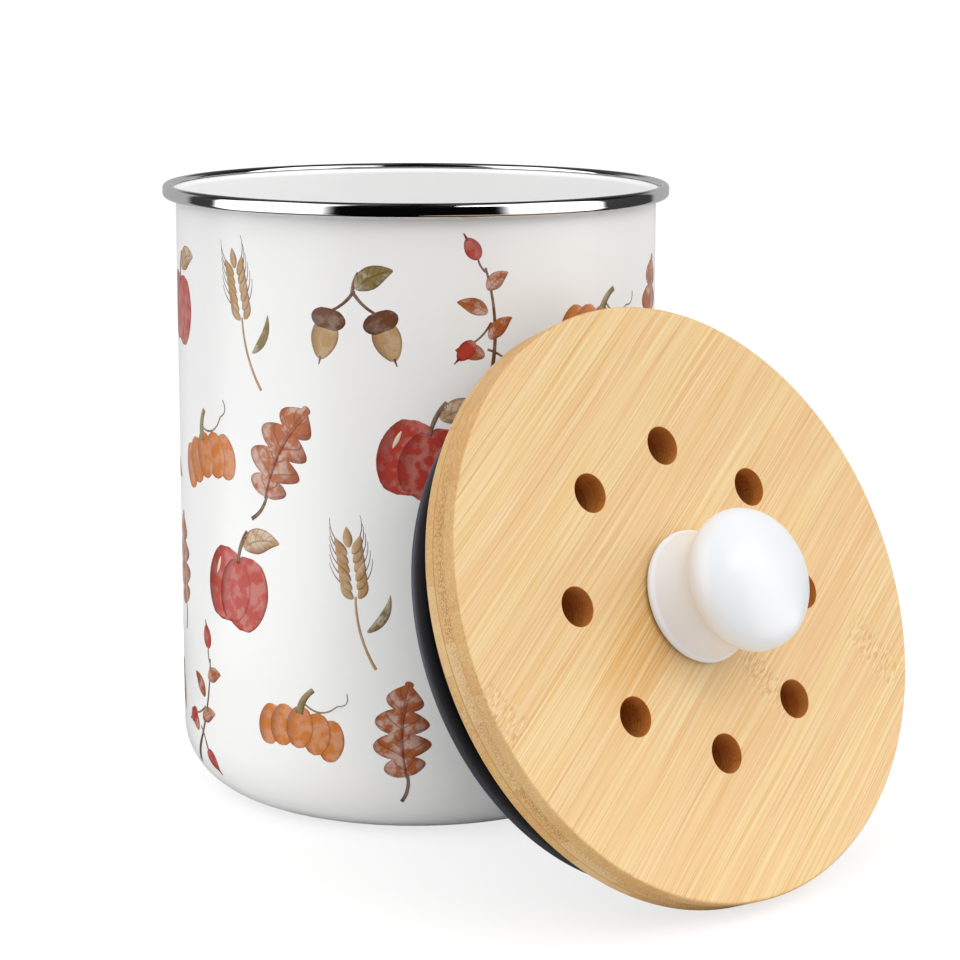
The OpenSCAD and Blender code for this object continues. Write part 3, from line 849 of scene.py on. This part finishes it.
def grain_place(points):
    """Place in the wood: along the fibres, across them in the board's plane, and above it."""
    c, s = math.cos(math.radians(GRAIN_TURN)), math.sin(math.radians(GRAIN_TURN))
    x, y, z = points.T
    return np.column_stack([x * c + y * s, y * c - x * s, z])


def fibre_noise(tree, vector, along, across, detail=2.0, roughness=0.5):
    """Noise with a number of grains per millimetre along the fibres and another across them."""
    node = tree.nodes.new("ShaderNodeVectorMath")
    node.operation = "MULTIPLY"
    feed(tree, node.inputs[0], vector)
    feed(tree, node.inputs[1], (along, across, across))
    return noise(tree, node.outputs[0], 1.0, detail, roughness)


def combined(tree, *sockets):
    """A vector whose first components come from sockets."""
    node = tree.nodes.new("ShaderNodeCombineXYZ")
    for target, source in zip(node.inputs, sockets):
        tree.links.new(source, target)
    return node.outputs[0]


def near(tree, value, middle, full, none):
    """A mask that is 1 within a distance of a value and falls to 0 at a longer one."""
    return ramp(tree, maths(tree, "ABSOLUTE", minus(tree, value, middle)), full, none, 1.0, 0.0)


# Bamboo: light strips of straight fibres in plies. Along the fibres they show as streaks, and
# across them as dark dots, which crowd towards the outer skin of each ply.
LIGHT = (0.764, 0.574, 0.292, 1)
HONEY = (0.740, 0.490, 0.217, 1)
ROSE = (0.722, 0.442, 0.224, 1)
AMBER = (0.672, 0.359, 0.108, 1)
STREAK = (0.560, 0.300, 0.110, 1)
PALE = (0.807, 0.654, 0.395, 1)
GLUE = (0.46, 0.23, 0.06, 1)
BUNDLE = (0.29, 0.155, 0.060, 1)
EDGE_TAN = (0.86, 0.76, 0.62, 1)
VENT_BROWN = (0.88, 0.53, 0.26, 1)
NODES = ((-82.0, 33.0, 9.0), (0.0, -37.0, 13.0), (42.0, -65.0, 12.0))
AMBER_AT = (-20.0, 7.0)
ROSE_ACROSS = -42.0
PLY_SHIFT = 7.7
STRIP_SHIFT = 900.0
SWAY = 3.2

bamboo_group, given, result = new_group("bamboo fibres", [
    ("Place", "NodeSocketVector", None), ("Edge", "NodeSocketFloat", 0.0),
    ("End grain", "NodeSocketFloat", 0.0),
], [("Color", "NodeSocketColor"), ("Height", "NodeSocketFloat"), ("Polish", "NodeSocketFloat")])
tree = bamboo_group
edge, end_grain = given.outputs["Edge"], given.outputs["End grain"]
along, across, depth = xyz(tree, given.outputs["Place"])
sway = fibre_noise(tree, given.outputs["Place"], 0.012, 0.06, 1.0)
across = plus(tree, across, times(tree, minus(tree, sway, 0.5), SWAY))
plies_down = maths(tree, "DIVIDE", minus(tree, 0.0, depth), PLY_T + 0.001)
ply = maths(tree, "FLOOR", plies_down)
in_ply = maths(tree, "FRACT", plies_down)
strip_at = maths(tree, "DIVIDE", plus(tree, across, times(tree, ply, PLY_SHIFT)), STRIP_W)
strip = maths(tree, "FLOOR", strip_at)
in_strip = maths(tree, "FRACT", strip_at)
key = combined(tree, strip, ply)
strip_tone = shade(tree, "ShaderNodeTexWhiteNoise", Vector=key).outputs["Value"]
wood = combined(tree, plus(tree, along, times(tree, strip_tone, STRIP_SHIFT)), across, depth)
hair = fibre_noise(tree, wood, 0.022, 3.6, 2.0, 0.6)
thread = fibre_noise(tree, wood, 0.016, 2.3, 1.0)
fine = fibre_noise(tree, wood, 0.011, 1.7, 2.0, 0.62)
streak = fibre_noise(tree, wood, 0.0055, 0.62, 2.0, 0.55)
broad = fibre_noise(tree, wood, 0.003, 0.085, 1.0)
warm = fibre_noise(tree, wood, 0.004, 0.22, 1.0)
amber = times(tree, near(tree, across, AMBER_AT[1], 4.0, 16.0),
              near(tree, along, AMBER_AT[0], 14.0, 46.0), ramp(tree, streak, 0.34, 0.60, 0.25, 0.95))
tone = blend(tree, ramp(tree, streak, 0.36, 0.66), LIGHT, HONEY)
for mask, share, colour in (
    (ramp(tree, warm, 0.46, 0.68), 0.55, ROSE),
    (ramp(tree, broad, 0.42, 0.62), 0.45, ROSE),
    (near(tree, across, ROSE_ACROSS, 3.0, 14.0), 0.40, ROSE),
    (amber, 1.0, AMBER),
    (ramp(tree, fine, 0.53, 0.70), 0.42, AMBER),
    (ramp(tree, fine, 0.46, 0.32), 0.70, PALE),
    (ramp(tree, thread, 0.60, 0.69), 0.55, STREAK),
    (ramp(tree, thread, 0.40, 0.31), 0.65, PALE),
    (ramp(tree, hair, 0.60, 0.74), 0.36, STREAK),
):
    tone = blend(tree, times(tree, mask, share), tone, colour)
# Growth nodes: short stretches of a strip where the fibres break up into dashes
dark_dash = ramp(tree, fibre_noise(tree, wood, 0.30, 1.5, 2.0), 0.50, 0.62)
pale_dash = ramp(tree, fibre_noise(tree, wood, 0.26, 1.9, 1.0), 0.54, 0.64)
for node_along, node_across, node_half in NODES:
    here = times(tree, near(tree, along, node_along, 2.0, 8.0),
                 near(tree, across, node_across, node_half - 2, node_half + 2))
    tone = blend(tree, times(tree, here, pale_dash, 0.75), tone, PALE)
    tone = blend(tree, times(tree, here, dark_dash, 0.70), tone, STREAK)
from_middle = times(tree, maths(tree, "ABSOLUTE", minus(tree, in_strip, 0.5)), 2.0)
joint_line = ramp(tree, from_middle, 1 - 0.36 / STRIP_W, 1 - 0.10 / STRIP_W)
tone = blend(tree, times(tree, joint_line, 0.45), tone, STREAK)
# Edge of the board: darker, with dots of cut fibre bundles and the glue lines of the plies
tone = blend(tree, edge, tone, blend(tree, 1.0, tone, EDGE_TAN, "MULTIPLY"))
corner = times(tree, ramp(tree, edge, 0.05, 0.40), ramp(tree, edge, 0.98, 0.70))
tone = blend(tree, times(tree, corner, 0.7), tone, AMBER)
cut_place = combined(tree, times(tree, across, 1.35), times(tree, depth, 1.7))
cells = shade(tree, "ShaderNodeTexVoronoi", Scale=1.0, Vector=cut_place)
cells.voronoi_dimensions = "2D"
# The dots crowd at the upper skin of the middle ply and thin out below it
middle_ply = near(tree, ply, 1.0, 0.4, 0.6)
crowd = plus(tree, 0.12, times(tree, middle_ply, ramp(tree, in_ply, 0.85, 0.25, 0.04, 0.26)))
bundle = ramp(tree, minus(tree, cells.outputs["Distance"], crowd), -0.08, 0.05, 1.0, 0.0)
bundle = times(tree, bundle, edge, ramp(tree, end_grain, 0.10, 0.75, 0.10, 0.85),
               ramp(tree, strip_tone, 0.15, 0.85, 1.0, 0.45))
ply_line = times(tree, ramp(tree, in_ply, 1 - 0.55 / PLY_T, 1 - 0.25 / PLY_T),
                 times(tree, edge, ramp(tree, ply, 0.2, 0.8, 0.35, 0.85)))
strip_pale = times(tree, edge, ramp(tree, strip_tone, 0.35, 0.95, 0.0, 0.34))
for mask, colour in ((strip_pale, PALE), (bundle, BUNDLE), (ply_line, GLUE)):
    tone = blend(tree, mask, tone, colour)
fill(tree, result, Color=tone, Polish=ramp(tree, streak, 0.3, 0.7, 0.34, 0.46),
     Height=plus(tree, times(tree, fine, 0.6), times(tree, hair, 0.4)))

bamboo, tree, shader = finish_material("laminated bamboo", HONEY, 0.4)
edge, end_grain, _ = xyz(tree, attribute(tree, "side"))
fibres = use_group(tree, bamboo_group, Place=attribute(tree, "grain"), Edge=edge,
                   End_grain=end_grain).outputs
cut_tone = blend(tree, 1.0, fibres["Color"], VENT_BROWN, "MULTIPLY")
tone = blend(tree, attribute(tree, "vent", "Fac"), fibres["Color"], cut_tone)
fill(tree, shader, Base_Color=tone, Roughness=fibres["Polish"], Specular_IOR_Level=0.22)
relief(tree, shader, fibres["Height"], 0.12, 0.0002)

board, kept = make_piece("bamboo_board", in_lid(board_points), board_quads, bamboo, "lid")
local = board_points[kept]
add_attribute(board, "grain", grain_place(local))
radial = np.hypot(local[:, 0], local[:, 1])
on_side = ((radial > BOARD_R - EDGE_DEPTH) | (in_vent[kept] > 0.5)).astype(float)
turn_of = np.arctan2(local[:, 1], local[:, 0]) - math.radians(GRAIN_TURN)
cut_across = np.abs(np.cos(turn_of)) * on_side
add_attribute(board, "side", np.column_stack([on_side, cut_across, np.zeros(len(local))]))
add_attribute(board, "vent", in_vent[kept], "FLOAT")
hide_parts("lid_board")

# ----------------------
# Knob: cast ceramic with a white glaze: rounded foot, hollow flare up to the neck, and a
# flattened round head. A thin rubber pad lies between it and the board.
# ----------------------
FOOT_R = 20.4
FOOT_EDGE_R = 1.7
NECK_R = 17.8
HEAD_R = 21.6
HEAD_H = 25.2
KNOB_H = 36.2
PAD_T = 0.6
PAD_R = 19.0
FLARE_POWER = 1.7
FILLET = 4.5
HEAD_Z = KNOB_H - HEAD_H / 2
neck_z = HEAD_Z - HEAD_H / 2 * math.sqrt(1 - (NECK_R / HEAD_R) ** 2)
foot = arc(FOOT_R - FOOT_EDGE_R, PAD_T + FOOT_EDGE_R, FOOT_EDGE_R, -90, 60, 14)
flare_h = neck_z - foot[-1, 1]
rise = np.linspace(0, 1 - FILLET / flare_h, 26)[1:]
flare = np.column_stack([NECK_R + (foot[-1, 0] - NECK_R) * (1 - rise) ** FLARE_POWER,
                         foot[-1, 1] + flare_h * rise])
neck_angle = -math.acos(NECK_R / HEAD_R)
swing = np.linspace(neck_angle + FILLET / HEAD_R, math.pi / 2, 60)
head = np.column_stack([HEAD_R * np.cos(swing), HEAD_Z + HEAD_H / 2 * np.sin(swing)])
head[-1, 0] = 0
share = np.linspace(0, 1, 10)[1:-1, None]
fillet = (1 - share) ** 2 * flare[-1] + 2 * share * (1 - share) * [NECK_R, neck_z] + share ** 2 * head[0]
points, quads = lathe(np.concatenate([[[0, PAD_T]], foot, flare, fillet, head]), 160)
glaze, tree, shader = finish_material("white glaze", (0.80, 0.815, 0.84, 1), 0.2)
vary_roughness(tree, shader, object_noise(tree, 90.0), 0.30, 0.35)
relief(tree, shader, object_noise(tree, 90.0, 1.0), 0.015, 0.0004)
fill(tree, shader, Coat_Weight=0.12, Coat_Roughness=0.2)
knob, _ = make_piece("ceramic_knob", in_lid(points), quads, glaze, "lid", weighted=False)
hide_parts("knob")

rubber, tree, shader = finish_material("black rubber", (0.03, 0.03, 0.03, 1), 0.6)
relief(tree, shader, object_noise(tree, 3000.0), 0.15, 0.0001)
points, quads = lathe([(SCREW_HOLE_R, 0), (PAD_R, 0), (PAD_R, PAD_T), (SCREW_HOLE_R, PAD_T)], 96)
pad, _ = make_piece("knob_rubber_pad", in_lid(points), quads, rubber, "lid")
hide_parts("knob_pad")

# ----------------------
# Seal: black silicone band round the housing, with a thin fin and a soft lip that fill the
# canister's mouth.
# ----------------------
HOUSING_H = 19.0
BAND_IN_R = 75.6
BAND_R = 77.2
BAND_TOP = 5.0
LIP_R = 82.5
LIP_T = 2.2
LIP_DEPTH = 17.4
FIN_R = 79.5
FIN_DEPTH = 9.2
FIN_T = 1.2
GROOVE_IN_R = 74.8
GROOVE_LOW = -11.4
GROOVE_HIGH = -8.6
# Painted light on the seal: a near-black colour stands for shade in the groove under the board, and a
# lighter grey-blue on the lip's outer edge is a painted highlight
LIP_HIGHLIGHT_FROM = 80.9
LIP_HIGHLIGHT_FADE = 0.4
SEAL_PAINTED_SHADE = (0.006, 0.006, 0.009, 1)
LIP_PAINTED_HIGHLIGHT = (0.052, 0.056, 0.074, 1)
under = -BOARD_T
tip = LIP_T / 2
point = FIN_T / 2
seal_outline = np.concatenate([
    [(BAND_IN_R, -HOUSING_H), (BAND_R - 0.3, -HOUSING_H), (BAND_R, -HOUSING_H + 0.3)],
    [(BAND_R, -LIP_DEPTH - tip)],
    arc(LIP_R - tip, -LIP_DEPTH, tip, -90, 90, 14),
    arc(BAND_R + 0.6, -LIP_DEPTH + tip + 0.6, 0.6, 270, 180, 5),
    arc(BAND_R + 0.5, -FIN_DEPTH - point - 0.5, 0.5, 180, 90, 5),
    arc(FIN_R - point, -FIN_DEPTH, point, -90, 90, 12),
    arc(BAND_R + 0.5, -FIN_DEPTH + point + 0.5, 0.5, 270, 180, 5),
    arc(BAND_R - 0.4, -BAND_TOP - 0.4, 0.4, 0, 90, 5),
    [(BAND_IN_R, -BAND_TOP), (BAND_IN_R, GROOVE_HIGH), (GROOVE_IN_R, GROOVE_HIGH),
     (GROOVE_IN_R, GROOVE_LOW), (BAND_IN_R, GROOVE_LOW)],
]) + [0, under]
silicone, tree, shader = finish_material("black silicone", (0.012, 0.013, 0.018, 1), 0.42)
grain = object_noise(tree, 1800.0, 3.0)
vary_roughness(tree, shader, grain, 0.36, 0.52)
relief(tree, shader, grain, 0.2, 0.0001)
# The seal's colour is painted light: darker than black silicone as painted shade, and lighter grey-blue
# at the lip's outer edge as a painted highlight
lip_highlight_share = attribute(tree, "lip", "Fac")
fill(tree, shader, Base_Color=blend(tree, lip_highlight_share, SEAL_PAINTED_SHADE, LIP_PAINTED_HIGHLIGHT))
points, quads = lathe(seal_outline, 240)
seal, kept = make_piece("silicone_seal", in_lid(points), quads, silicone, "lid")
outward = np.hypot(points[kept, 0], points[kept, 1])
# The painted highlight fades in over the outer edge of the lip
add_attribute(seal, "lip", np.clip((outward - LIP_HIGHLIGHT_FROM) / LIP_HIGHLIGHT_FADE, 0, 1), "FLOAT")
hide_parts("lid_seal")

# ----------------------
# Housing and cover: moulded black plastic. Both keep their built shape; a merged copy with
# smooth round walls stands for each.
# ----------------------
SMOOTH_ANGLE = 32.0


def smooth_copy(node, name, material, body):
    """Copies a built piece, merges its loose triangles, and shades its round walls smoothly."""
    source = frame["nodes"][node]
    copy = source.copy()
    copy.data = source.data.copy()
    copy.name = copy.data.name = name
    bpy.context.collection.objects.link(copy)
    copy.parent = None
    copy.matrix_world = Matrix.Identity(4)
    work = bmesh.new()
    work.from_mesh(copy.data)
    bmesh.ops.remove_doubles(work, verts=work.verts, dist=1e-6)
    bmesh.ops.dissolve_limit(work, angle_limit=math.radians(0.5), verts=work.verts, edges=work.edges)
    for face in work.faces:
        face.smooth = True
    for line in work.edges:
        line.smooth = len(line.link_faces) == 2 and line.calc_face_angle(0) < math.radians(SMOOTH_ANGLE)
    work.to_mesh(copy.data)
    work.free()
    if "custom_normal" in copy.data.attributes:
        copy.data.attributes.remove(copy.data.attributes["custom_normal"])
    copy.data.materials.clear()
    copy.data.materials.append(material)
    even = copy.modifiers.new("even shading", "WEIGHTED_NORMAL")
    even.keep_sharp = True
    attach(copy, body)
    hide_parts(node)


plastic, tree, shader = finish_material("black plastic", (0.028, 0.028, 0.030, 1), 0.45)
spark = object_noise(tree, 2400.0, 3.0)
vary_roughness(tree, shader, spark, 0.36, 0.5)
relief(tree, shader, spark, 0.25, 0.0001)
smooth_copy("filter_housing", "housing", plastic, "lid")
smooth_copy("filter_cover", "cover_grille", plastic, "cover")

# ----------------------
# Filter: round pad of needled felt filled with charcoal.
# ----------------------
felt, tree, shader = finish_material("charcoal felt", (0.022, 0.022, 0.023, 1), 0.95)
fuzz = object_noise(tree, 1500.0, 4.0)
hairs = object_noise(tree, 500.0, 3.0)
tone = blend(tree, ramp(tree, fuzz, 0.4, 0.65), (0.012, 0.012, 0.013, 1), (0.045, 0.045, 0.047, 1))
fill(tree, shader, Base_Color=tone, Sheen_Weight=0.25)
relief(tree, shader, plus(tree, fuzz, hairs), 0.8, 0.0006)
smooth_copy("charcoal_filter", "felt_filter", felt, "cover")

# ----------------------
# Fasteners: brass insert, zinc-plated screws and washer. They are turned and pressed parts.
# ----------------------
brass, tree, shader = finish_material("turned brass", (0.72, 0.50, 0.20, 1), 0.3, 1.0)
vary_roughness(tree, shader, object_noise(tree, 800.0, 2.0, (1, 1, 8)), 0.22, 0.4)
zinc, tree, shader = finish_material("zinc plate", (0.62, 0.63, 0.66, 1), 0.35, 1.0)
vary_roughness(tree, shader, object_noise(tree, 700.0, 3.0), 0.26, 0.46)
smooth_copy("knob_insert", "brass_insert", brass, "lid")
smooth_copy("knob_screw", "knob_bolt", zinc, "lid")
smooth_copy("knob_washer", "bolt_washer", zinc, "lid")
smooth_copy("housing_screws", "wood_screws", zinc, "lid")
